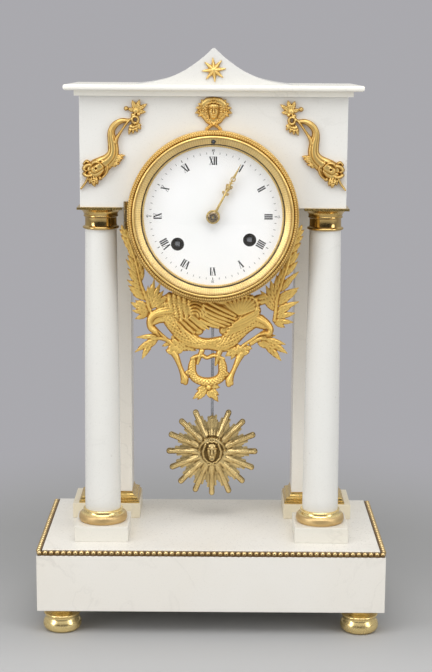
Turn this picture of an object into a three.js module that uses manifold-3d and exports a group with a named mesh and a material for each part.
// Column mantel clock: marble portico, gilt mounts, drum movement and sunburst pendulum.
// Millimetres, Z up, front towards -Y, origin on the table under the middle of the base.
import * as THREE from 'three';
import { mergeVertices } from 'three/addons/utils/BufferGeometryUtils.js';
import Module from 'manifold-3d';

const wasm = await Module();
wasm.setup();

// The drum, which the portico stands round
const DRUM_R = 60;
const DRUM_WALL = 1.6;

// Base and feet, in millimetres
const FOOT_H = 19.5;
const FOOT_INSET_X = 18;
const FOOT_INSET_Y = 17;
const BASE_D = 140;
const BASE_TOP = FOOT_H + 48.9;
const BEAD_PROUD = 1;
const BASE_FRONT = -BASE_D / 2;
const BASE_REAR = BASE_D / 2 + BEAD_PROUD;
const FRONT_BEADS = 58;
const SIDE_BEADS = 30;
const BEAD_OUT = 1.8;
const BEAD_H = 4.1;
const REBATE = 4.2;
const REBATE_GAP = 0.1;
const PLINTH_H = 12.4;
const PLINTH_TOP = BASE_TOP + PLINTH_H;

// Rear piers, beside the drum, and what stands under them
const FRONT_Y = -42;
const BACK_Y = 52;
const PIER_W = 34.9;
const PIER_D = 29.5;
const PIER_X0 = DRUM_R + 5.9;
const PIER_X1 = PIER_X0 + PIER_W;
const PIER_Y0 = BACK_Y - PIER_D;
const PIER_BASE_IN = 5.9;
const PIER_BASE_OUT = 8.6;
const PIER_BASE_DEEP = 5.3;
const PIER_BASE_H = 8.5;
const PIER_PLINTH_IN = 6.6;
const PIER_PLINTH_OUT = 13.7;
const PIER_PLINTH_FRONT = 6.8;
const PIER_PLINTH_REAR = 8.8;
const PIER_PLINTH_X0 = PIER_X0 - PIER_PLINTH_IN;
const PIER_PLINTH_X1 = PIER_X1 + PIER_PLINTH_OUT;
const BASE_MARGIN = 20.5;
const BASE_W = 2 * (PIER_PLINTH_X1 + BASE_MARGIN);
const FOOT_X = BASE_W / 2 - FOOT_INSET_X;
const FOOT_Y = BASE_D / 2 - FOOT_INSET_Y;

// Front columns
const COLUMN_X = PIER_X1 - 14.5;
const COLUMN_Y = FRONT_Y + 15.5;
const COLUMN_PLINTH = 42;
const COLUMN_BASE_H = 10.1;
const COLUMN_BASE_R = COLUMN_PLINTH / 2 - 1.9;
const COLUMN_FOOT = PLINTH_TOP + COLUMN_BASE_H;
const COLUMN_R0 = 14.1;
const COLUMN_R1 = 12.1;
const COLUMN_SWELL = 0.3;
const CAPITAL_H = 17.4;
const ABACUS_HALF = 17;
const SOFFIT = 330.9;
const COLUMN_HEAD = SOFFIT - CAPITAL_H;

// Marble block, cornice and pediment
const FRIEZE_HALF = PIER_X1;
const FRIEZE_TOP = SOFFIT + 83.7;
const FILLET_OUT = 3.5;
const FILLET_H = 4.0;
const CORNICE_OUT = 10.9;
const CORNICE_TOP = FRIEZE_TOP + FILLET_H + 4.3;
const PEDIMENT_HALF = 60;
const PEDIMENT_H = 27.1;
const STAR_R = 8.5;
const STAR_Z = CORNICE_TOP + 11.1;
const MOUNT_Y = -36.5;
const MOUNT_X = -2;
const MOUNT_DRUM_R = 60;

// The clock drum, on an axis along Y, a fixed height of marble over it
const DRUM_COVER = 29.4;
const AXIS_Z = FRIEZE_TOP - DRUM_COVER - DRUM_R;
const DRUM_BACK = BACK_Y + 0.6;
const SLOT_HALF = 15;
const ARCH_R = DRUM_R + 0.4;
const FLANGE_R = DRUM_R + 3.2;
const FLANGE_FRONT = FRONT_Y - 1.1;
const BEZEL_R = DRUM_R + 4.7;
const BEZEL_BORE = DRUM_R + 0.6;
const BEZEL_BACK = FLANGE_FRONT - 0.3;
const BEZEL_FRONT = BEZEL_BACK - 14;
const GLASS_R = BEZEL_BORE - 0.3;
const GLASS_T = 1.6;
const GLASS_RIM = BEZEL_FRONT + 1.5;
const GLASS_SAG = 7.7;
const RING_R = DRUM_R - DRUM_WALL - 0.7;
const SIGHT_R = RING_R - 5.5;
const DIAL_R = RING_R - 3.1;
const DIAL_FRONT = -47.0;
const DIAL_BACK = -45.5;
const HINGE_R = 1.4;
const KNUCKLE_HALF = 4;
const KNUCKLE_H = 6.2;
const HINGE_GAP = 0.3;
const FRONT_HINGE_X = -BEZEL_R - 1.6;
const FRONT_HINGE_Y = BEZEL_BACK - 1;
const REAR_DOOR_R = DRUM_R + 2.4;
const REAR_DOOR_Y0 = DRUM_BACK + 0.4;
const REAR_HINGE_X = REAR_DOOR_R + 1.8;
const REAR_HINGE_Y = REAR_DOOR_Y0 + 1.3;

// Movement: plates, arbors and trains; train positions are from the dial's centre on a plate
// of TRAIN_PLATE_R, and keep their pattern on the plate that fits the drum
const PLATE_R = DRUM_R - DRUM_WALL - 3.9;
const TRAIN_PLATE_R = 54.5;
const TRAIN = PLATE_R / TRAIN_PLATE_R;
const PLATE_T = 2;
const FRONT_PLATE_Y = -38;
const BACK_PLATE_Y = 0;
const ARBOR_R = 0.7;
const ARBOR_HOLE_R = 1.0;
const GREAT_TEETH = 48;
const GREAT_PINION = 8;
const INTER_TEETH = 45;
const STRIKE_TEETH = 54;
const SECOND_PINION = 6;
const CENTRE_TEETH = 72;
const THIRD_TEETH = 60;
const CANNON_TEETH = 8;
const MINUTE_TEETH = 24;
const MINUTE_PINION = 8;
const HOUR_TEETH = 32;
const ESCAPE_TEETH = 30;
const ESCAPE_R = 11.9 * TRAIN;
const BARREL_R = 20.5 * TRAIN;
const GOING = planted(27.7, -17.6);
const STRIKE = planted(-26.7, -21.1);
const INTER = planted(15.88, 6.07);
const CENTRE = planted(0, 0);
const THIRD = planted(-1.38, 16.32);
const ESCAPE = planted(0, 32.1);
const ANCHOR = planted(0, 48.9);
const STRIKE_SECOND = planted(-22.3, 4.99);
const PIN_WHEEL = planted(-25.77, 24.69);
const PIN_WHEEL_R = 12.6 * TRAIN;
const HAMMER = planted(-23, 41);
const HAMMER_HEAD = planted(-33.7, 12.7);
const MINUTE_STUD = planted(0, 14.4);
const GREAT_MODULE = moduleFor(GOING, INTER, GREAT_TEETH + GREAT_PINION);
const INTER_MODULE = moduleFor(INTER, CENTRE, INTER_TEETH + SECOND_PINION);
const CENTRE_MODULE = moduleFor(CENTRE, THIRD, CENTRE_TEETH + SECOND_PINION);
const THIRD_MODULE = moduleFor(THIRD, ESCAPE, THIRD_TEETH + SECOND_PINION);
const STRIKE_MODULE = moduleFor(STRIKE_SECOND, PIN_WHEEL, STRIKE_TEETH + SECOND_PINION);
const CANNON_MODULE = moduleFor(CENTRE, MINUTE_STUD, CANNON_TEETH + MINUTE_TEETH);
const HOUR_MODULE = moduleFor(CENTRE, MINUTE_STUD, MINUTE_PINION + HOUR_TEETH);
const PILLARS = [planted(0, -50), planted(46, 18), planted(-48, 8), planted(22, 44)];
const REGULATOR = [0, PLATE_R + 1.5];
const REGULATOR_R = 0.9;
const COUNT_R = 18 * TRAIN;
const COUNT_NOTCH = 2.4 * TRAIN;
const BELL_R = 30 * TRAIN;
const BELL_WALL = 1.6;
const BELL_MOUTH = 24;
const BELL_TOP = 44.4;
const BELL_POST = planted(26, -38);

// Pendulum, hung on the cock by its silk
const PENDULUM_Y = 14;
const PENDULUM_Z = AXIS_Z + ANCHOR[1];
const COCK_Z = PENDULUM_Z + 1.9;
const ROD_R = 1.15;
const ROD_TOP = PENDULUM_Z - 7.9;
const SILK_R = 0.35;
const SILK_TOP = AXIS_Z + REGULATOR[1] - REGULATOR_R - 0.3;
const CRUTCH_Z = PENDULUM_Z - 29.1;
const BOB_R = 37;
const BOB_Z = BASE_TOP + 58.8;
const BOB_BACK = 12.6;

// Hands
const HAND_ANGLE = 27.5;
const MINUTE_HAND = DIAL_R - 9.8;
const HOUR_HAND = DIAL_R - 20.1;
const ROUND = 32;

// A train position on the plate that fits the drum
function planted(x, z) {
  return [x * TRAIN, z * TRAIN];
}

// The gear module that meshes two arbors whose wheel and pinion have this many teeth together
function moduleFor(a, b, teeth) {
  return (2 * Math.hypot(a[0] - b[0], a[1] - b[1])) / teeth;
}

// Materials
function look(colour, roughness, metalness, extra = {}) {
  return new THREE.MeshStandardMaterial({ color: colour, roughness, metalness, ...extra });
}
const marble = () => look(0xe9e6df, 0.35, 0.0);
const gilt = () => look(0xd9a441, 0.35, 1.0);
const brass = () => look(0xc9a24a, 0.3, 1.0);
const steel = () => look(0x6f7278, 0.35, 1.0);

// Bare triangles: points welded, no normals or texture coordinates, faces outward
function bare(geometry) {
  const copy = geometry.clone();
  copy.deleteAttribute('normal');
  copy.deleteAttribute('uv');
  const welded = mergeVertices(copy, 1e-4);
  const source = welded.index.array;
  const p = welded.attributes.position;
  const kept = [];
  let volume = 0;
  for (let i = 0; i < source.length; i += 3) {
    const [a, b, c] = [source[i], source[i + 1], source[i + 2]];
    if (a === b || b === c || a === c) continue;
    kept.push(a, b, c);
    const va = new THREE.Vector3().fromBufferAttribute(p, a);
    const vb = new THREE.Vector3().fromBufferAttribute(p, b);
    const vc = new THREE.Vector3().fromBufferAttribute(p, c);
    volume += va.dot(vb.cross(vc));
  }
  if (volume < 0) {
    for (let i = 0; i < kept.length; i += 3) [kept[i], kept[i + 1]] = [kept[i + 1], kept[i]];
  }
  welded.setIndex(kept);
  return welded;
}

function toSolid(geometry) {
  const g = bare(geometry);
  const vertProperties = new Float32Array(g.attributes.position.array);
  const triVerts = new Uint32Array(g.index.array);
  return new wasm.Manifold(new wasm.Mesh({ numProp: 3, vertProperties, triVerts }));
}

function toGeometry(solid) {
  const m = solid.getMesh();
  const geometry = new THREE.BufferGeometry();
  const stride = m.numProp;
  const count = m.vertProperties.length / stride;
  const points = new Float32Array(count * 3);
  for (let i = 0; i < count; i += 1) {
    for (let k = 0; k < 3; k += 1) points[3 * i + k] = m.vertProperties[stride * i + k];
  }
  geometry.setAttribute('position', new THREE.BufferAttribute(points, 3));
  geometry.setIndex(Array.from(m.triVerts));
  return geometry;
}

// One closed body from several, with other bodies cut away
function join(parts, cuts = []) {
  let solid = toSolid(parts[0]);
  for (const part of parts.slice(1)) solid = solid.add(toSolid(part));
  for (const cut of cuts) solid = solid.subtract(toSolid(cut));
  return toGeometry(solid);
}

function box(x0, x1, y0, y1, z0, z1) {
  const g = new THREE.BoxGeometry(x1 - x0, y1 - y0, z1 - z0);
  g.translate((x0 + x1) / 2, (y0 + y1) / 2, (z0 + z1) / 2);
  return g;
}

// Turned about an axis along Y through (x, z); profile is [radius, y]
function turnedY(profile, x = 0, z = AXIS_Z, segments = ROUND) {
  const points = profile.map(([r, y]) => new THREE.Vector2(r, y));
  const g = new THREE.LatheGeometry(points, segments);
  g.translate(x, 0, z);
  return g;
}

// Turned about an upright axis through (x, y); profile is [radius, z]
function turnedZ(profile, x, y, segments = 16) {
  const points = profile.map(([r, z]) => new THREE.Vector2(r, z));
  const g = new THREE.LatheGeometry(points, segments);
  g.rotateX(Math.PI / 2);
  g.translate(x, y, 0);
  return g;
}

function rodY(r, y0, y1, x, z, segments = 8) {
  return turnedY([[0, y0], [r, y0], [r, y1], [0, y1]], x, z, segments);
}

// A flat outline in X and Z, filled from y0 to y1
function plate(outline, y0, y1, holes = []) {
  const shape = new THREE.Shape(outline.map(([x, z]) => new THREE.Vector2(x, z)));
  for (const hole of holes) {
    shape.holes.push(new THREE.Path(hole.map(([x, z]) => new THREE.Vector2(x, z))));
  }
  const g = new THREE.ExtrudeGeometry(shape, { depth: y1 - y0, bevelEnabled: false, curveSegments: 1 });
  g.rotateX(Math.PI / 2);
  g.translate(0, y1, 0);
  return g;
}

function circle(r, x, z, n, turn = 0) {
  const out = [];
  for (let i = 0; i < n; i += 1) {
    const a = turn + (2 * Math.PI * i) / n;
    out.push([x + r * Math.cos(a), z + r * Math.sin(a)]);
  }
  return out;
}

// A skin over sections that hold the same number of points, closed at both ends
function loft(sections) {
  const n = sections[0].length;
  const points = sections.flat(2);
  const index = [];
  for (let s = 0; s + 1 < sections.length; s += 1) {
    for (let i = 0; i < n; i += 1) {
      const a = s * n + i;
      const b = s * n + ((i + 1) % n);
      index.push(a, b, a + n, b, b + n, a + n);
    }
  }
  const top = (sections.length - 1) * n;
  for (let i = 1; i + 1 < n; i += 1) {
    index.push(0, i + 1, i);
    index.push(top, top + i, top + i + 1);
  }
  const g = new THREE.BufferGeometry();
  g.setAttribute('position', new THREE.BufferAttribute(new Float32Array(points), 3));
  g.setIndex(index);
  return g;
}

function rectangle(x0, x1, y0, y1, z) {
  return [[x0, y0, z], [x1, y0, z], [x1, y1, z], [x0, y1, z]];
}

// A raised strip on a flat back at y = back: path points are [x, z, half width, depth]
function relief(path, back, sides = 3) {
  const sections = path.map(([x, z, w, d], i) => {
    const a = path[Math.max(i - 1, 0)];
    const b = path[Math.min(i + 1, path.length - 1)];
    const length = Math.hypot(b[0] - a[0], b[1] - a[1]);
    const nx = -(b[1] - a[1]) / length;
    const nz = (b[0] - a[0]) / length;
    const ring = [];
    for (let k = 0; k <= sides; k += 1) {
      const t = (Math.PI * k) / sides;
      ring.push([x + nx * w * Math.cos(t), back - d * Math.sin(t), z + nz * w * Math.cos(t)]);
    }
    return ring;
  });
  return loft(sections);
}

function mirrorPath(path) {
  return path.map(([x, z, w, d]) => [-x, z, w, d]);
}

// A pointed leaf from (x, z) in the direction given in degrees
function leaf(x, z, direction, length, width, depth, back) {
  const a = THREE.MathUtils.degToRad(direction);
  const [c, s] = [Math.cos(a), Math.sin(a)];
  const at = (t, w, d) => [x + c * length * t, z + s * length * t, w, d];
  return relief([at(-0.05, 0.5, depth * 0.6), at(0.4, width, depth), at(1, 0.15, depth * 0.3)], back, 2);
}

// A low cushion of elliptical outline on a flat back
function boss(x, z, rx, rz, depth, back, n = 8) {
  const rings = [[1, 0], [0.85, 0.6], [0.35, 1]];
  const sections = rings.map(([s, d]) => circle(1, 0, 0, n).map(([u, v]) => [
    x + rx * s * u, back - depth * d, z + rz * s * v]));
  return loft(sections);
}

function wheelOutline(teeth, module, phase) {
  const r = (teeth * module) / 2;
  const out = [];
  for (let i = 0; i < teeth; i += 1) {
    const a = phase + (2 * Math.PI * i) / teeth;
    const b = a + Math.PI / teeth;
    out.push([(r + 0.9 * module) * Math.cos(a), (r + 0.9 * module) * Math.sin(a)]);
    out.push([(r - 1.1 * module) * Math.cos(b), (r - 1.1 * module) * Math.sin(b)]);
  }
  return out;
}

function leavesOutline(teeth, module, phase, tipR, rootR, tipW, rootW) {
  const pitch = (2 * Math.PI) / teeth;
  const out = [];
  for (let i = 0; i < teeth; i += 1) {
    const a = phase + i * pitch;
    const corners = [[-rootW, rootR], [-tipW, tipR], [tipW, tipR], [rootW, rootR]];
    for (const [w, r] of corners) out.push([r * Math.cos(a + w * pitch), r * Math.sin(a + w * pitch)]);
  }
  return out;
}

function pinionOutline(leaves, module, phase) {
  const r = (leaves * module) / 2;
  return leavesOutline(leaves, module, phase, r + 0.6 * module, r - 1.5 * module, 0.08, 0.16);
}

// Openings between the arms of a crossed-out wheel
function crossings(arms, inner, outer) {
  const holes = [];
  for (let i = 0; i < arms; i += 1) {
    const a = (2 * Math.PI * i) / arms;
    const b = (2 * Math.PI * (i + 1)) / arms;
    const go = 1.0 / outer;
    const p = (r, t) => [r * Math.cos(t), r * Math.sin(t)];
    const m = (a + b) / 2;
    holes.push([p(inner, m), p(outer, a + go), p(outer * 1.1, m), p(outer, b - go)]);
  }
  return holes;
}

function moved(outline, [x, z]) {
  return outline.map(([u, v]) => [u + x, v + z + AXIS_Z]);
}

// The angle in the X-Z plane from one arbor to another
function lineTo(from, to) {
  return Math.atan2(to[1] - from[1], to[0] - from[0]);
}

// A wheel with a tooth on the line to the pinion it drives
function wheel(teeth, module, from, to, y0, y1, arms) {
  const r = (teeth * module) / 2;
  const holes = arms ? crossings(arms, 3.2, r * 0.8).map((h) => moved(h, from)) : [];
  return plate(moved(wheelOutline(teeth, module, lineTo(from, to)), from), y0, y1, holes);
}

// A pinion with a space on the line to the wheel that drives it
function pinion(leaves, module, at, driver, y0, y1) {
  const phase = lineTo(at, driver) + Math.PI / leaves;
  return plate(moved(pinionOutline(leaves, module, phase), at), y0, y1);
}

// An arbor between the plates, its ends running in them
function arbor(at, y0 = FRONT_PLATE_Y + 0.4, y1 = BACK_PLATE_Y + PLATE_T - 0.4) {
  return rodY(ARBOR_R, y0, y1, at[0], at[1] + AXIS_Z, 6);
}

const clock = new THREE.Group();
clock.name = 'column_mantel_clock';

function add(name, geometry, material) {
  const mesh = new THREE.Mesh(bare(geometry), material);
  mesh.geometry.computeVertexNormals();
  mesh.name = name;
  material.name = name;
  clock.add(mesh);
}

// Base block with a rebate for the bead border along its front and side top edges; it runs back
// as far as the beads stand proud in front, which keeps the origin under the middle of the whole
function baseBlock() {
  const w = BASE_W / 2;
  const z = BASE_TOP - REBATE;
  const top = BASE_TOP + 1;
  return join([box(-w, w, BASE_FRONT, BASE_REAR, FOOT_H, BASE_TOP)], [
    box(-w - 1, w + 1, BASE_FRONT - 1, BASE_FRONT + REBATE, z, top),
    box(-w - 1, -w + REBATE, BASE_FRONT - 1, BASE_REAR + 1, z, top),
    box(w - REBATE, w + 1, BASE_FRONT - 1, BASE_REAR + 1, z, top)]);
}

// Bead border as one strip in the rebate, its outer edge scalloped once for each bead
function beadBorder() {
  const inner = BASE_W / 2 - REBATE + REBATE_GAP;
  const front = BASE_FRONT + REBATE - REBATE_GAP;
  const root = BASE_W / 2 + BEAD_PROUD - BEAD_OUT;
  const rootFront = BASE_FRONT - BEAD_PROUD + BEAD_OUT;
  const outline = [];
  const scallops = (from, to, count, [outX, outY]) => {
    for (let i = 0; i < count; i += 1) {
      const at = (t) => [from[0] + (to[0] - from[0]) * t, from[1] + (to[1] - from[1]) * t];
      const [x, y] = at((i + 0.5) / count);
      outline.push(at(i / count), [x + outX * BEAD_OUT, y + outY * BEAD_OUT]);
    }
  };
  scallops([-root, BASE_REAR], [-root, rootFront], SIDE_BEADS, [-1, 0]);
  scallops([-root, rootFront], [root, rootFront], FRONT_BEADS, [0, -1]);
  scallops([root, rootFront], [root, BASE_REAR], SIDE_BEADS, [1, 0]);
  outline.push([root, BASE_REAR], [inner, BASE_REAR], [inner, front], [-inner, front], [-inner, BASE_REAR]);
  const shape = new THREE.Shape(outline.map(([u, v]) => new THREE.Vector2(u, v)));
  const g = new THREE.ExtrudeGeometry(shape, { depth: BEAD_H, bevelEnabled: false });
  g.translate(0, 0, BASE_TOP - REBATE + REBATE_GAP);
  return g;
}

function foot(x, y) {
  const profile = [
    [0, 0], [12.6, 0], [15.0, 0.24], [13.7, 0.49], [14.4, 0.7], [8.6, 0.79], [7.5, 0.89], [9.2, 1], [0, 1]];
  return turnedZ(profile.map(([r, share]) => [r, share * FOOT_H]), x, y, 14);
}

function columnBase(x) {
  const r = COLUMN_BASE_R;
  const z = PLINTH_TOP;
  const profile = [
    [0, z], [r - 0.8, z], [r, z + 3.2], [r - 1.2, z + 6.4], [COLUMN_R0 + 2.3, z + 7.2],
    [COLUMN_R0 + 1.5, COLUMN_FOOT], [0, COLUMN_FOOT]];
  return turnedZ(profile, x, COLUMN_Y, 20);
}

function column(x) {
  const middle = (COLUMN_FOOT + COLUMN_HEAD) / 2;
  const profile = [
    [0, COLUMN_FOOT], [COLUMN_R0, COLUMN_FOOT], [(COLUMN_R0 + COLUMN_R1) / 2 + COLUMN_SWELL, middle],
    [COLUMN_R1, COLUMN_HEAD], [0, COLUMN_HEAD]];
  return turnedZ(profile, x, COLUMN_Y, 20);
}

// Capital: astragal, round neck and ring, a hollow flare and a thin square abacus
function capital(x) {
  const z = COLUMN_HEAD;
  const neck = COLUMN_R1;
  const rings = [
    [0, neck + 1.3, 0], [1.8, neck + 1.8, 0], [2.9, neck + 0.3, 0], [9.2, neck + 0.1, 0], [10.4, neck + 1, 0],
    [12.0, neck + 0.9, 0.1], [14.0, neck + 2.8, 0.75], [15.2, ABACUS_HALF, 1], [CAPITAL_H, ABACUS_HALF, 1]];
  const n = 16;
  const sections = rings.map(([h, r, square]) => {
    const ring = [];
    for (let i = 0; i < n; i += 1) {
      const a = (2 * Math.PI * i) / n;
      const [c, s] = [Math.cos(a), Math.sin(a)];
      const reach = r * (1 - square + square / Math.max(Math.abs(c), Math.abs(s)));
      ring.push([x + reach * c, COLUMN_Y + reach * s, z + h]);
    }
    return ring;
  });
  return loft(sections);
}

// Moulded gilt base under a rear pier; inset grows from the plinth to the pier
function pierBase(side) {
  const steps = [[0, 0], [1.8, 0], [2.2, 0.16], [4.2, 0.22], [5.0, 0.5], [7.2, 0.9], [PIER_BASE_H, 0.94]];
  const sections = steps.map(([h, t]) => {
    const mix = (a, b) => a + (b - a) * t;
    const x0 = mix(PIER_X0 - PIER_BASE_IN, PIER_X0);
    const x1 = mix(PIER_X1 + PIER_BASE_OUT, PIER_X1);
    const y0 = mix(PIER_Y0 - PIER_BASE_DEEP, PIER_Y0);
    const y1 = mix(BACK_Y + PIER_BASE_DEEP, BACK_Y);
    return rectangle(Math.min(side * x0, side * x1), Math.max(side * x0, side * x1), y0, y1, PLINTH_TOP + h);
  });
  return loft(sections);
}

function entablature() {
  const w = FRIEZE_HALF;
  const outline = [[-w, SOFFIT], [-w, FRIEZE_TOP], [w, FRIEZE_TOP], [w, SOFFIT]];
  const rise = SOFFIT - AXIS_Z;
  const start = Math.asin(rise / ARCH_R);
  const n = 22;
  for (let i = 0; i <= n; i += 1) {
    const a = start + ((Math.PI - 2 * start) * i) / n;
    outline.push([ARCH_R * Math.cos(a), AXIS_Z + ARCH_R * Math.sin(a)]);
  }
  return plate(outline, FRONT_Y, BACK_Y);
}

function cornice() {
  const at = (out, z) => rectangle(-FRIEZE_HALF - out, FRIEZE_HALF + out, FRONT_Y - out, BACK_Y + out, z);
  const z = FRIEZE_TOP + FILLET_H;
  return loft([
    at(FILLET_OUT, FRIEZE_TOP), at(FILLET_OUT, z), at(CORNICE_OUT - 1.6, z),
    at(CORNICE_OUT - 0.4, z + 0.8), at(CORNICE_OUT, z + 1.9), at(CORNICE_OUT, z + 3.0),
    at(CORNICE_OUT - 1.0, CORNICE_TOP)]);
}

function pediment() {
  const shares = [
    [1, 0], [1, 0.01], [0.9, 0.03], [0.767, 0.077], [0.622, 0.151], [0.5, 0.247], [0.373, 0.384],
    [0.25, 0.557], [0.137, 0.749], [0.075, 0.867], [0.02, 0.985]];
  const half = shares.map(([x, z]) => [x * PEDIMENT_HALF, CORNICE_TOP + z * PEDIMENT_H]);
  const left = half.map(([x, z]) => [-x, z]).reverse();
  return plate([...half, [0, CORNICE_TOP + PEDIMENT_H], ...left], FRONT_Y, BACK_Y);
}

// Eight-rayed star with folded rays
function star() {
  const ring = (scale, y) => circle(1, 0, 0, 16, 0.1).map(([u, v], i) => {
    const r = STAR_R * scale * (i % 2 ? 0.47 : 1);
    return [r * u, y, STAR_Z + r * v];
  });
  return loft([ring(1, FRONT_Y), ring(1, FRONT_Y - 0.8), ring(0.12, FRONT_Y - 3.2)]);
}

// Calm generic mask with leafy hair over a crossed ribbon; heights are from the block's top edge
function mask() {
  const back = FRONT_Y;
  const top = FRIEZE_TOP;
  const pair = (x, z, a, l, w, d) => [
    leaf(x, top + z, a, l, w, d, back), leaf(-x, top + z, 180 - a, l, w, d, back)];
  const band = (path) => relief(path.map(([x, z, w, d]) => [x, top + z, w, d]), back, 2);
  const parts = [
    boss(0, top - 13.0, 5.0, 7.2, 6.0, back, 8),
    boss(0, top - 5.2, 6.2, 4.4, 4.8, back, 6),
    ...pair(5.0, -9.4, -20, 8.2, 3.0, 3.2),
    ...pair(4.5, -6.0, 15, 7.4, 2.4, 2.8),
    ...pair(4.6, -13.0, -48, 6.8, 2.2, 2.8),
    band([[0, -10.0, 0.5, 6.0], [0, -13.6, 1.1, 7.0], [0, -15.0, 0.6, 6.0]]),
    band([[-2.6, -18.0, 1.5, 2.6], [0, -20.4, 1.3, 3.0], [4.6, -23.8, 1.1, 2.2]]),
    band([[2.6, -18.0, 1.5, 2.6], [0, -20.4, 1.3, 3.0], [-4.6, -23.8, 1.1, 2.2]])];
  return join(parts);
}

// Dolphin with a long flower-ended tail, from the block's top corner; side is -1 for the left one
function dolphin(side) {
  const back = FRONT_Y;
  const place = ([x, z, ...rest]) => [side * (FRIEZE_HALF - x), FRIEZE_TOP - z, ...rest];
  const curve = (path, sides) => relief(path.map(place), back, sides);
  const lobe = (x, z, rx, rz, d, n) => boss(...place([x, z]), rx, rz, d, back, n);
  const spike = (x, z, a, l, w, d) => leaf(...place([x, z]), side < 0 ? a : 180 - a, l, w, d, back);
  const parts = [
    curve([
      [17.8, 52.3, 5.6, 4.6], [23.2, 44.6, 5.2, 4.8], [24.8, 34.1, 4.7, 4.6],
      [25.8, 25.0, 3.8, 4.1], [31.2, 18.6, 3.1, 3.5], [40.2, 17.0, 2.0, 3.0]], 4),
    curve([[27.2, 30.0, 1.5, 2.6], [32.2, 23.6, 1.1, 2.4], [38.6, 14.6, 1.2, 2.4]], 2),
    lobe(14.2, 54.6, 8.6, 7.6, 5.6, 10),
    lobe(7.2, 54.4, 3.4, 4.2, 4.4, 6),
    spike(8.2, 57.2, 232, 15.6, 1.5, 3.2),
    spike(13.0, 59.8, 278, 8.6, 3.0, 3.4),
    spike(24.8, 45.0, 18, 8.6, 2.2, 3.2),
    spike(23.4, 48.6, -5, 7.6, 2.4, 3.2),
    lobe(43.2, 18.2, 4.2, 4.8, 3.2, 6),
    spike(41.6, 22.8, 240, 5.8, 2.2, 2.8),
    spike(44.4, 22.8, 300, 5.4, 2.2, 2.8),
    lobe(43.4, 10.7, 4.4, 4.8, 3.4, 6),
    spike(42.2, 8.0, 160, 7.0, 1.8, 2.6),
    spike(43.6, 7.0, 92, 5.6, 2.0, 2.6),
    spike(46.0, 8.8, 25, 7.4, 1.9, 2.6)];
  return join(parts);
}

// Pierced mount below the drum, cut to seat on it: two birds back to back with crossed wings,
// rods in their beaks, branches, torches and a wreath with a bow. Its points are measured from the
// drum's axis on a drum of MOUNT_DRUM_R and keep their pattern on another drum
function birdMount() {
  const back = MOUNT_Y;
  const size = DRUM_R / MOUNT_DRUM_R;
  const shift = (path) => path.map(([x, z, w, d]) => [
    size * x + MOUNT_X, AXIS_Z + size * z, size * w, d]);
  const both = (path, sides = 2) => [path, mirrorPath(path)].map((p) => relief(shift(p), back, sides));
  const twins = (x, z, a, l, w, d) => [1, -1].map((s) => leaf(
    MOUNT_X + s * size * x, AXIS_Z + size * z, s > 0 ? a : 180 - a, size * l, size * w, d, back));
  const wings = both([
    [-33, -63.2, 9, 3.6], [-16, -68.7, 11.4, 5.2], [4, -79.2, 8.6, 5], [19, -85.6, 1.6, 3.4]], 3);
  const bodies = both([[-34, -75.2, 4.5, 4], [-28.5, -84.7, 7, 5], [-15, -96, 7.2, 5], [2, -101, 6.2, 4.2]], 3);
  const necks = both([
    [-31, -79.2, 4.5, 4.4], [-40.5, -76.6, 3.2, 4], [-46.4, -78.6, 2.8, 3.8], [-47.4, -84.8, 2.4, 3.8],
    [-43.6, -90.2, 1.6, 3]]);
  const rods = both([[-45.4, -87.2, 1.2, 2.6], [-24, -105.4, 1.4, 2.8]]);
  const torches = both([[-27.8, -103.2, 2.4, 3], [-26.4, -107.6, 1.3, 2.6], [-17.4, -132.6, 2.4, 3]]);
  const branches = both([[-44.4, -84.6, 1.5, 2.6], [-55.8, -54.4, 1.3, 2.4], [-66.6, -17.2, 0.8, 1.6]]);
  const sprays = both([[-37, -93.8, 1.3, 2.4], [-56, -95.2, 1, 2]]);
  const wreath = both([
    [-7.8, -101.8, 1.8, 3], [-11.4, -112.6, 3, 3.6], [-11.8, -121.4, 3.6, 4.2], [-6.8, -128, 3.7, 4.3],
    [0.6, -129.8, 3.7, 4.3]], 3);
  const leaves = [
    ...twins(-46, -81.2, 60, 26, 4.4, 2.8), ...twins(-47.6, -79.2, 100, 26, 4.4, 2.8),
    ...twins(-55.4, -56.8, 152, 9.0, 2.8, 2.6), ...twins(-58.4, -46.8, 136, 10.6, 3.0, 2.6),
    ...twins(-62.0, -36.6, 124, 10.6, 2.8, 2.6), ...twins(-65.0, -26.6, 114, 10.8, 2.4, 2.4),
    ...twins(-66.8, -19.2, 88, 12.4, 2.2, 2.0), ...twins(-51.4, -65.2, 172, 10.6, 3.4, 2.6),
    ...twins(-48.6, -74.6, 206, 13.2, 4.4, 2.8), ...twins(-52.4, -95.2, 200, 8.6, 2.6, 2.4),
    ...twins(-49.6, -95.6, 250, 16.6, 3.8, 2.6)];
  const bow = [
    ...twins(-1.0, -134.8, 212, 13.4, 2.8, 3.0), ...twins(-0.6, -135.4, 238, 11.4, 2.4, 2.8),
    boss(MOUNT_X, AXIS_Z - 134.8 * size, 3.4 * size, 3.4 * size, 4.2, back, 6)];
  const drum = rodY(DRUM_R + 0.3, -60, 0, 0, AXIS_Z, ROUND);
  const birds = [...wings, ...bodies, ...necks];
  const trophies = [...rods, ...torches, ...wreath, ...bow];
  return join([...birds, ...trophies, ...branches, ...sprays, ...leaves], [drum]);
}

// The middle knuckle of a door's hinge, on its upright axis
function hingeBarrel(x, y) {
  const [z0, z1] = [AXIS_Z - KNUCKLE_HALF, AXIS_Z + KNUCKLE_HALF];
  return turnedZ([[0, z0], [HINGE_R, z0], [HINGE_R, z1], [0, z1]], x, y, 8);
}

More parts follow.
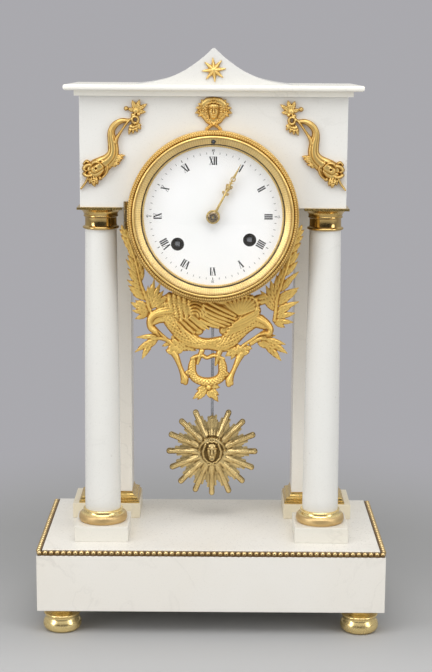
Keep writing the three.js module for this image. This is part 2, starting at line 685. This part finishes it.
// The two fixed knuckles of a hinge, each on a lug of the drum
function knuckles(x, y, lugY0, lugY1, lugX0, lugX1) {
  const parts = [];
  for (const s of [-1, 1]) {
    const ends = [s * (KNUCKLE_HALF + HINGE_GAP), s * (KNUCKLE_HALF + HINGE_GAP + KNUCKLE_H)];
    const [z0, z1] = ends.sort((a, b) => a - b).map((z) => AXIS_Z + z);
    parts.push(turnedZ([[0, z0], [HINGE_R, z0], [HINGE_R, z1], [0, z1]], x, y, 10));
    parts.push(box(lugX0, lugX1, lugY0, lugY1, z0, z1));
  }
  return parts;
}

// Drum through the marble arch, with a front flange, hinge lugs and a slot for the pendulum
function drumCase() {
  const inner = DRUM_R - DRUM_WALL;
  const tube = turnedY([
    [inner, FLANGE_FRONT], [FLANGE_R, FLANGE_FRONT], [FLANGE_R, FRONT_Y], [DRUM_R, FRONT_Y],
    [DRUM_R, DRUM_BACK], [inner, DRUM_BACK], [inner, FLANGE_FRONT]]);
  const front = knuckles(
    FRONT_HINGE_X, FRONT_HINGE_Y, FLANGE_FRONT, FRONT_Y, FRONT_HINGE_X - 1.3, -DRUM_R - 1.5);
  const rear = knuckles(
    REAR_HINGE_X, REAR_HINGE_Y, BACK_Y + 0.05, REAR_DOOR_Y0 - 0.05, DRUM_R - 1, REAR_HINGE_X + 1.2);
  const under = AXIS_Z - DRUM_R;
  const slot = box(-SLOT_HALF, SLOT_HALF, PENDULUM_Y - 5, PENDULUM_Y + 5, under - 2, under + 8);
  return join([tube, ...front, ...rear], [slot]);
}

function bezel() {
  const ring = turnedY([
    [BEZEL_BORE, BEZEL_BACK], [BEZEL_R - 0.5, BEZEL_BACK], [BEZEL_R, BEZEL_BACK - 1.8],
    [BEZEL_R, BEZEL_BACK - 6.2], [BEZEL_R - 2.9, BEZEL_FRONT + 1.8], [BEZEL_BORE - 0.4, BEZEL_FRONT],
    [BEZEL_BORE - 1.4, BEZEL_FRONT + 1.2], [BEZEL_BORE, BEZEL_FRONT + 1.2], [BEZEL_BORE, BEZEL_BACK]]);
  const [x, y, half] = [FRONT_HINGE_X, FRONT_HINGE_Y, KNUCKLE_HALF];
  const link = box(x, -BEZEL_R + 1.3, y - HINGE_R, y + 0.3, AXIS_Z - half, AXIS_Z + half);
  return join([ring, hingeBarrel(x, y), link]);
}

function glass() {
  const outer = [];
  const inner = [];
  for (const t of [0, 0.5, 0.82, 1]) {
    const r = GLASS_R * t;
    const sag = (1 - t * t) * GLASS_SAG;
    outer.push([r, GLASS_RIM - sag]);
    inner.push([r, GLASS_RIM + GLASS_T - sag]);
  }
  return turnedY([...outer, ...inner.reverse()]);
}

// Fixed chased ring between glass and dial, with the regulating hole at twelve
function sightRing() {
  const ring = turnedY([
    [SIGHT_R, DIAL_FRONT - 0.3], [SIGHT_R, DIAL_FRONT - 1.7], [RING_R + 0.7, DIAL_FRONT - 5.2],
    [RING_R + 1.5, DIAL_FRONT - 5.2], [RING_R + 1.5, FLANGE_FRONT], [RING_R, FLANGE_FRONT], [RING_R, -40],
    [RING_R - 0.7, -40], [RING_R - 0.7, DIAL_FRONT - 0.3], [SIGHT_R, DIAL_FRONT - 0.3]]);
  const hole = rodY(1.6, -60, -40, REGULATOR[0], AXIS_Z + REGULATOR[1], 10);
  return join([ring], [hole]);
}

function dial() {
  const holes = [
    circle(4.2, 0, AXIS_Z, 14),
    circle(5.0, GOING[0], AXIS_Z + GOING[1], 14),
    circle(5.0, STRIKE[0], AXIS_Z + STRIKE[1], 14)];
  return plate(circle(DIAL_R, 0, AXIS_Z, ROUND), DIAL_FRONT, DIAL_BACK, holes);
}

function rearDoor() {
  const face = REAR_DOOR_Y0 + 1.8;
  const disc = turnedY([
    [0, REAR_DOOR_Y0], [REAR_DOOR_R, REAR_DOOR_Y0], [REAR_DOOR_R, face], [REAR_DOOR_R - 5.4, face + 0.8],
    [REAR_DOOR_R - 10.4, face], [0, face + 1.4]]);
  const [x, y, half] = [REAR_HINGE_X, REAR_HINGE_Y, KNUCKLE_HALF];
  const link = box(REAR_DOOR_R - 1.9, x, y - 0.3, y + HINGE_R, AXIS_Z - half, AXIS_Z + half);
  const knob = rodY(3.0, face - 0.8, face + 4.7, -REAR_DOOR_R + 6.4, AXIS_Z, 10);
  return join([disc, hingeBarrel(x, y), link, knob]);
}

// Where arbors pass through a movement plate: [position, hole radius]
function frontPlate() {
  const holes = [
    [GOING, 2.8], [STRIKE, 2.8], [CENTRE, 1.4], [INTER, ARBOR_HOLE_R], [THIRD, ARBOR_HOLE_R],
    [ESCAPE, ARBOR_HOLE_R], [ANCHOR, ARBOR_HOLE_R], [STRIKE_SECOND, ARBOR_HOLE_R], [PIN_WHEEL, ARBOR_HOLE_R],
    [HAMMER, ARBOR_HOLE_R]].map(([at, r]) => circle(r, at[0], at[1] + AXIS_Z, 8));
  const disc = plate(circle(PLATE_R, 0, AXIS_Z, ROUND), FRONT_PLATE_Y, FRONT_PLATE_Y + PLATE_T, holes);
  const pillars = PILLARS.map(([x, z]) => rodY(2.6, FRONT_PLATE_Y + 1, BACK_PLATE_Y, x, AXIS_Z + z, 8));
  const stud = rodY(ARBOR_HOLE_R, -44.6, FRONT_PLATE_Y + 1, MINUTE_STUD[0], AXIS_Z + MINUTE_STUD[1], 6);
  return join([disc, ...pillars, stud]);
}

// Back plate with the bell post drawn in one with it
function backPlate() {
  const holes = [
    [GOING, 1.4], [STRIKE, 1.4], [CENTRE, 1.3], [INTER, ARBOR_HOLE_R], [THIRD, ARBOR_HOLE_R],
    [ESCAPE, ARBOR_HOLE_R], [ANCHOR, ARBOR_HOLE_R], [STRIKE_SECOND, ARBOR_HOLE_R], [PIN_WHEEL, ARBOR_HOLE_R],
    [HAMMER, ARBOR_HOLE_R]].map(([at, r]) => circle(r, at[0], at[1] + AXIS_Z, 8));
  const y1 = BACK_PLATE_Y + PLATE_T;
  const disc = plate(circle(PLATE_R, 0, AXIS_Z, ROUND), BACK_PLATE_Y, y1, holes);
  const reach = BELL_TOP + 3.1;
  const [px, pz] = BELL_POST;
  const post = rodY(1.8, y1 - 1, reach, px, AXIS_Z + pz, 8);
  const arm = plate([
    [px + 1.6, pz - 1.6], [px + 2.4, pz + 1.4], [2.6, 2.4], [-2.6, 2.0], [-2.6, -2.6], [px - 2, pz - 1.8]].map(
    ([x, z]) => [x, z + AXIS_Z]), BELL_TOP + 0.4, reach);
  return join([disc, post, arm]);
}

// Cock over the pendulum: a slotted shelf for the silk and a bearing for the regulating arbor
function suspensionCock() {
  const y0 = BACK_PLATE_Y + PLATE_T;
  const z0 = COCK_Z;
  const bearing = AXIS_Z + REGULATOR[1];
  const parts = [
    box(-8, 8, y0, 18.5, z0, z0 + 3),
    box(-8, -3.5, y0, y0 + 2, z0 - 9, z0 + 1),
    box(3.5, 8, y0, y0 + 2, z0 - 9, z0 + 1),
    box(-3, 3, 16, 18.5, z0 + 2, bearing + 1.8)];
  const cuts = [
    box(-1, 1, PENDULUM_Y - 1.4, PENDULUM_Y + 1.4, z0 - 1, z0 + 4),
    rodY(ARBOR_HOLE_R, 10, 20, REGULATOR[0], bearing, 12)];
  return join(parts, cuts);
}

function regulatingArbor() {
  const z = AXIS_Z + REGULATOR[1];
  const shaft = rodY(REGULATOR_R, -47.4, 18.2, 0, z, 10);
  const square = box(-0.7, 0.7, -49.8, -47, z - 0.7, z + 0.7);
  return join([shaft, square]);
}

function pendulumRod() {
  const foot = BOB_Z - 17.2;
  const profile = [
    [0, foot], [ROD_R, foot], [ROD_R, ROD_TOP - 6.2], [1.8, ROD_TOP - 5.2], [1.8, ROD_TOP - 0.6], [0, ROD_TOP]];
  return turnedZ(profile, 0, PENDULUM_Y, 8);
}

function silkThread() {
  const [z0, z1] = [ROD_TOP, SILK_TOP];
  return turnedZ([[0, z0], [SILK_R, z0], [SILK_R, z1], [0, z1]], 0, PENDULUM_Y, 6);
}

// Sunburst bob: sixteen long blunt rays, shorter rays between and a domed face in the middle
function pendulumBob() {
  const n = 16;
  const valley = BOB_R * 0.65;
  const short = BOB_R * 0.82;
  const outline = [];
  for (let i = 0; i < n; i += 1) {
    const a = (i / n) * 2 * Math.PI;
    const at = (r, t) => [r * Math.cos(a + t), BOB_Z + r * Math.sin(a + t)];
    outline.push(at(BOB_R, -0.05), at(BOB_R, 0.05), at(valley, 0.105), at(short, 0.196), at(valley, 0.288));
  }
  const rays = plate(outline, BOB_BACK - 2.4, BOB_BACK);
  const disc = turnedY([
    [0, BOB_BACK], [17.5, BOB_BACK], [17.5, 9.4], [14.0, 7.0], [11.0, 6.0], [8.0, 3.2], [3.0, 1.8], [0, 1.6]],
    0, BOB_Z, 16);
  const bossBack = box(-3.4, 3.4, BOB_BACK - 1, PENDULUM_Y + 2.8, BOB_Z - 15, BOB_Z + 14.8);
  const [low, high, r] = [BOB_Z - BOB_R, BOB_Z + BOB_R, ROD_R + 0.15];
  const bore = turnedZ([[0, low], [r, low], [r, high], [0, high]], 0, PENDULUM_Y, 8);
  return join([rays, disc, bossBack], [bore]);
}

function barrel(at, partner) {
  const z = at[1] + AXIS_Z;
  const drum = rodY(BARREL_R, -34, -14.2, at[0], z, 24);
  const great = wheel(GREAT_TEETH, GREAT_MODULE, at, partner, -15.2, -13.2, 0);
  return join([drum, great], [rodY(2.7, -40, 0, at[0], z, 8)]);
}

// Winding arbor: round in the barrel, square at the dial
function windingArbor(at) {
  const [x, z] = [at[0], at[1] + AXIS_Z];
  const shaft = turnedY([[0, -38.4], [2.4, -38.4], [2.4, -0.4], [1.1, -0.4], [1.1, 1.8], [0, 1.8]], x, z, 8);
  return join([shaft, box(x - 1.6, x + 1.6, -46.6, -38, z - 1.6, z + 1.6)]);
}

function intermediateWheel() {
  return join([
    arbor(INTER),
    pinion(GREAT_PINION, GREAT_MODULE, INTER, GOING, -17.5, -11),
    wheel(INTER_TEETH, INTER_MODULE, INTER, CENTRE, -8, -7, 0)]);
}

function centreWheel() {
  return join([
    rodY(1.0, -54.6, BACK_PLATE_Y + PLATE_T - 0.4, 0, AXIS_Z, 8),
    pinion(SECOND_PINION, INTER_MODULE, CENTRE, INTER, -10, -5.2),
    wheel(CENTRE_TEETH, CENTRE_MODULE, CENTRE, THIRD, -4, -3, 4)]);
}

function thirdWheel() {
  return join([
    arbor(THIRD),
    pinion(SECOND_PINION, CENTRE_MODULE, THIRD, CENTRE, -6, -1.4),
    wheel(THIRD_TEETH, THIRD_MODULE, THIRD, ESCAPE, -28, -27, 0)]);
}

// Escape wheel: both pallets stand a quarter pitch from a tooth at rest
function escapeWheel() {
  const pitch = (2 * Math.PI) / ESCAPE_TEETH;
  const phase = Math.PI / 4 - pitch / 4;
  const teeth = [];
  for (let i = 0; i < ESCAPE_TEETH; i += 1) {
    const a = phase + i * pitch;
    for (const [r, t] of [[ESCAPE_R - 2, -0.2 * pitch], [ESCAPE_R, 0], [ESCAPE_R - 2, 0.2 * pitch]]) {
      teeth.push([r * Math.cos(a + t), r * Math.sin(a + t)]);
    }
  }
  return join([
    arbor(ESCAPE),
    pinion(SECOND_PINION, THIRD_MODULE, ESCAPE, THIRD, -30, -25.2),
    plate(moved(teeth, ESCAPE), -5.2, -4.2, crossings(4, 2.6, ESCAPE_R - 4.4).map((h) => moved(h, ESCAPE)))]);
}

// Pallets between the plates and the crutch behind them, on one arbor
function anchorCrutch() {
  const half = [
    [5, 1.7], [10.4, -3.2], [10.8, -6], [8.76, -8.32], [8.48, -8.04], [9.1, -6.4], [8.4, -3.9], [4.4, -1]].map(
    ([x, z]) => [x * TRAIN, z * TRAIN]);
  const left = half.map(([x, z]) => [-x, z]).reverse();
  const outline = [...half, [0, -2.0], ...left, [0, 2.2]];
  const gap = ROD_R + 0.35;
  return join([
    plate(outline.map(([x, z]) => [x, z + PENDULUM_Z]), -6.2, -3.4),
    rodY(ARBOR_R, FRONT_PLATE_Y + 0.4, 7.0, 0, PENDULUM_Z, 6),
    box(-1.1, 1.1, 5.6, 7.0, CRUTCH_Z + 1, PENDULUM_Z + 0.6),
    box(-gap - 0.9, gap + 0.9, 5.6, 7.0, CRUTCH_Z, CRUTCH_Z + 3.5),
    box(-gap - 0.9, -gap, 5.6, PENDULUM_Y + 3, CRUTCH_Z, CRUTCH_Z + 2.5),
    box(gap, gap + 0.9, 5.6, PENDULUM_Y + 3, CRUTCH_Z, CRUTCH_Z + 2.5)]);
}

function cannonPinion() {
  const pipe = turnedY([[1.1, -54.2], [1.9, -54.2], [1.9, -38.5], [1.1, -38.5], [1.1, -54.2]], 0, AXIS_Z, 10);
  const phase = lineTo(CENTRE, MINUTE_STUD) + Math.PI / CANNON_TEETH;
  const outline = moved(pinionOutline(CANNON_TEETH, CANNON_MODULE, phase), CENTRE);
  const leaves = plate(outline, -40.2, -38.5, [circle(1.5, 0, AXIS_Z, 10)]);
  return join([pipe, leaves]);
}

function minuteWheel() {
  const bore = circle(1.15, MINUTE_STUD[0], MINUTE_STUD[1] + AXIS_Z, 8);
  const toCentre = lineTo(MINUTE_STUD, CENTRE);
  const disc = wheelOutline(MINUTE_TEETH, CANNON_MODULE, toCentre);
  const leaves = pinionOutline(MINUTE_PINION, HOUR_MODULE, toCentre + Math.PI / MINUTE_PINION);
  return join([
    plate(moved(disc, MINUTE_STUD), -40.2, -39.0, [bore]),
    plate(moved(leaves, MINUTE_STUD), -43.6, -39.6, [bore])]);
}

function hourWheel() {
  const pipe = turnedY([[2.1, -51.2], [3.2, -51.2], [3.2, -42.0], [2.1, -42.0], [2.1, -51.2]], 0, AXIS_Z, 12);
  const disc = plate(
    moved(wheelOutline(HOUR_TEETH, HOUR_MODULE, lineTo(CENTRE, MINUTE_STUD)), CENTRE), -43.0, -42.0,
    [circle(2.6, 0, AXIS_Z, 12)]);
  return join([pipe, disc]);
}

// A hand along a ray at the clock angle, with a collar and a pierced head
function hand(length, y0, y1, bore, collar) {
  const a = THREE.MathUtils.degToRad(90 - HAND_ANGLE);
  const turn = ([u, v]) => [u * Math.sin(a) + v * Math.cos(a), AXIS_Z - u * Math.cos(a) + v * Math.sin(a)];
  const k = length;
  const side = [
    [0.85, 4.0], [0.7, 0.5 * k], [2.6, 0.56 * k], [2.6, 0.6 * k], [1.0, 0.64 * k], [2.0, 0.7 * k],
    [2.0, 0.77 * k], [0.8, 0.82 * k], [0.15, k]];
  const left = side.map(([u, v]) => [-u, v]).reverse();
  const eye = [[0, 0.675], [1, 0.715], [1, 0.755], [0, 0.79], [-1, 0.755], [-1, 0.715]];
  const pierce = eye.map(([u, v]) => [u, v * k]);
  const blade = plate([...side, ...left].map(turn), y0, y1, [pierce.map(turn)]);
  const ring = plate(circle(collar, 0, AXIS_Z, 20), y0, y1);
  return join([ring, blade], [rodY(bore, y0 - 1, y1 + 1, 0, AXIS_Z, 16)]);
}

function strikeWheel() {
  return join([
    arbor(STRIKE_SECOND, FRONT_PLATE_Y + 0.4, 5.4),
    pinion(GREAT_PINION, GREAT_MODULE, STRIKE_SECOND, STRIKE, -17.5, -11),
    wheel(STRIKE_TEETH, STRIKE_MODULE, STRIKE_SECOND, PIN_WHEEL, -10.6, -9.6, 0)]);
}

function pinWheel() {
  const z = PIN_WHEEL[1] + AXIS_Z;
  const disc = plate(circle(PIN_WHEEL_R, PIN_WHEEL[0], z, 20), -22, -21);
  const places = circle(PIN_WHEEL_R - 1.2, PIN_WHEEL[0], z, 10, 0.1);
  const pins = places.map(([u, v]) => rodY(0.5, -25, -21.5, u, v, 4));
  const leaves = pinion(SECOND_PINION, STRIKE_MODULE, PIN_WHEEL, STRIKE_SECOND, -12.5, -8);
  return join([arbor(PIN_WHEEL), leaves, disc, ...pins]);
}

// Count wheel with a notch before each hour's blows and a half-hour notch after them
function countWheel() {
  const blows = 90;
  const at = (r, t) => [
    STRIKE_SECOND[0] + r * Math.cos(t), STRIKE_SECOND[1] + AXIS_Z + r * Math.sin(t)];
  const outline = [];
  let sum = 0;
  for (let hour = 1; hour <= 12; hour += 1) {
    const start = (2 * Math.PI * sum) / blows;
    const end = (2 * Math.PI * (sum + hour + 1)) / blows;
    const notch = COUNT_R - COUNT_NOTCH;
    outline.push(at(notch, start), at(notch, start + 0.09), at(COUNT_R, start + 0.1));
    const steps = Math.max(1, Math.round((end - start) / 0.36));
    const step = (end - start - 0.11) / steps;
    for (let k = 1; k <= steps; k += 1) outline.push(at(COUNT_R, start + 0.1 + step * k));
    sum += hour + 1;
  }
  return plate(outline, 3.2, 4.4, [circle(0.95, STRIKE_SECOND[0], STRIKE_SECOND[1] + AXIS_Z, 8)]);
}

// Hammer: tail between the plates, arm and head beside the bell
function hammer() {
  const [x, z] = [HAMMER[0], HAMMER[1] + AXIS_Z];
  const tail = plate([[x - 0.9, z + 1], [x - 1.3, z - 3.4], [x - 0.1, z - 3.6], [x + 0.9, z + 1]], -25, -23.4);
  const [hx, hz] = [HAMMER_HEAD[0], HAMMER_HEAD[1] + AXIS_Z];
  const arm = plate([[x - 1.4, z + 1.2], [hx - 1, hz], [hx + 1.4, hz - 0.4], [x + 1.4, z + 1]], 26.4, 28.4);
  return join([arbor(HAMMER, FRONT_PLATE_Y + 0.4, 28.4), tail, arm, rodY(4, 24.4, 30.4, hx, hz, 10)]);
}

function bell() {
  const inner = BELL_R - BELL_WALL;
  return turnedY([
    [inner, BELL_MOUTH], [BELL_R, BELL_MOUTH], [BELL_R - 1, 33], [BELL_R - 5.4, 39.4], [BELL_R * 0.4, 44.0],
    [0, BELL_TOP], [0, BELL_TOP - BELL_WALL], [inner * 0.4, BELL_TOP - 2], [inner - 5, 38.4], [inner - 1, 32.6],
    [inner, BELL_MOUTH]], 0, AXIS_Z, 24);
}

// The case, from the table up
for (const [row, sy] of [['front', -1], ['rear', 1]]) {
  for (const [name, sx] of [['left', -1], ['right', 1]]) {
    add(`foot_${row}_${name}`, foot(sx * FOOT_X, sy * FOOT_Y), gilt());
  }
}
add('base_block', baseBlock(), marble());
add('bead_border', beadBorder(), gilt());
for (const [name, side] of [['left', -1], ['right', 1]]) {
  const half = COLUMN_PLINTH / 2;
  const x = side * COLUMN_X;
  const y = COLUMN_Y;
  const [x0, x1] = [side * PIER_PLINTH_X0, side * PIER_PLINTH_X1].sort((a, b) => a - b);
  const [y0, y1] = [PIER_Y0 - PIER_PLINTH_FRONT, BACK_Y + PIER_PLINTH_REAR];
  const [p0, p1] = [side * PIER_X0, side * PIER_X1].sort((a, b) => a - b);
  add(`column_plinth_${name}`, box(x - half, x + half, y - half, y + half, BASE_TOP, PLINTH_TOP), marble());
  add(`pier_plinth_${name}`, box(x0, x1, y0, y1, BASE_TOP, PLINTH_TOP), marble());
  add(`column_base_${name}`, columnBase(x), gilt());
  add(`column_${name}`, column(x), marble());
  add(`capital_${name}`, capital(x), gilt());
  add(`pier_base_${name}`, pierBase(side), gilt());
  add(`pier_${name}`, box(p0, p1, PIER_Y0, BACK_Y, PLINTH_TOP + PIER_BASE_H, SOFFIT), marble());
}
add('entablature', entablature(), marble());
add('cornice', cornice(), marble());
add('pediment', pediment(), marble());
add('star_mount', star(), gilt());
add('mask_mount', mask(), gilt());
add('dolphin_mount_left', dolphin(-1), gilt());
add('dolphin_mount_right', dolphin(1), gilt());
add('bird_mount', birdMount(), gilt());

// The drum and what closes it
add('drum_case', drumCase(), brass());
add('sight_ring', sightRing(), gilt());
add('dial', dial(), look(0xf6f4ee, 0.2, 0.0));
add('bezel', bezel(), gilt());
add('glass', glass(), look(0xffffff, 0.05, 0.0, { transparent: true, opacity: 0.15 }));
add('rear_door', rearDoor(), brass());

// The movement
add('front_plate', frontPlate(), brass());
add('back_plate', backPlate(), brass());
add('suspension_cock', suspensionCock(), brass());
add('regulating_arbor', regulatingArbor(), steel());
add('silk_thread', silkThread(), look(0xcdbf9a, 0.9, 0.0));
add('pendulum_rod', pendulumRod(), steel());
add('pendulum_bob', pendulumBob(), gilt());
add('going_barrel', barrel(GOING, INTER), brass());
add('going_arbor', windingArbor(GOING), steel());
add('intermediate_wheel', intermediateWheel(), brass());
add('centre_wheel', centreWheel(), brass());
add('third_wheel', thirdWheel(), brass());
add('escape_wheel', escapeWheel(), brass());
add('anchor_crutch', anchorCrutch(), steel());
add('cannon_pinion', cannonPinion(), steel());
add('minute_wheel', minuteWheel(), brass());
add('hour_wheel', hourWheel(), brass());
add('hour_hand', hand(HOUR_HAND, -51.0, -50.2, 3.25, 5.2), gilt());
add('minute_hand', hand(MINUTE_HAND, -53.8, -53.0, 1.95, 4.6), gilt());
add('strike_barrel', barrel(STRIKE, STRIKE_SECOND), brass());
add('strike_arbor', windingArbor(STRIKE), steel());
add('strike_wheel', strikeWheel(), brass());
add('pin_wheel', pinWheel(), brass());
add('count_wheel', countWheel(), brass());
add('hammer', hammer(), steel());
add('bell', bell(), look(0xb08d57, 0.25, 1.0));

export default clock;
